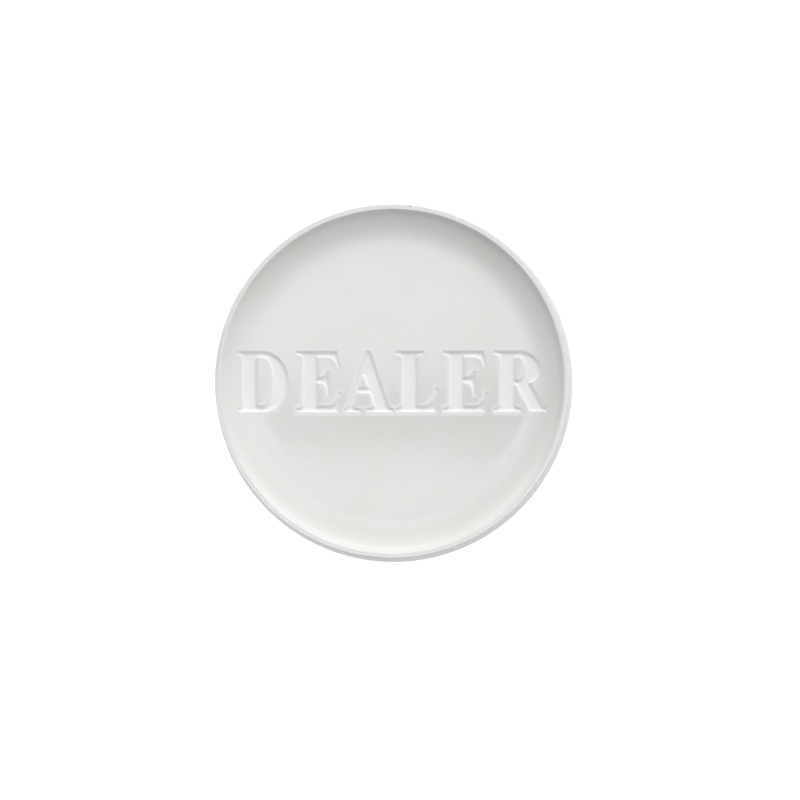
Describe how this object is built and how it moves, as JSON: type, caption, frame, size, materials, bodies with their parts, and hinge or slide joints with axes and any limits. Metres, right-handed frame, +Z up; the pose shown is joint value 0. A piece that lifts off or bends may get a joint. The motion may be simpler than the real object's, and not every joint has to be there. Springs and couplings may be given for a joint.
{
  "type": "dealer button",
  "caption": "Thick round gaming button, dished inside a raised lip on both faces, with the seat's name sunk into each face in bold serif capitals.",
  "frame": {"origin": "centre of the disc, in the plane of the lower lip that it stands on", "axes": "+Z up through the disc's thickness; +X along the lettering of the upper face, in reading order; +Y towards the tops of its letters"},
  "size_m": [0.0762, 0.0762, 0.0191],
  "materials": {
    "puck_plastic": "polished white moulded plastic",
    "letter_enamel": "matt white enamel"
  },
  "bodies": {
    "root": {"puck_body": "puck_plastic", "front_enamel_1_d": "letter_enamel", "front_enamel_2_e": "letter_enamel", "front_enamel_3_a": "letter_enamel", "front_enamel_4_l": "letter_enamel", "front_enamel_5_e": "letter_enamel", "front_enamel_6_r": "letter_enamel", "back_enamel_1_d": "letter_enamel", "back_enamel_2_e": "letter_enamel", "back_enamel_3_a": "letter_enamel", "back_enamel_4_l": "letter_enamel", "back_enamel_5_e": "letter_enamel", "back_enamel_6_r": "letter_enamel"}
  },
  "joints": []
}
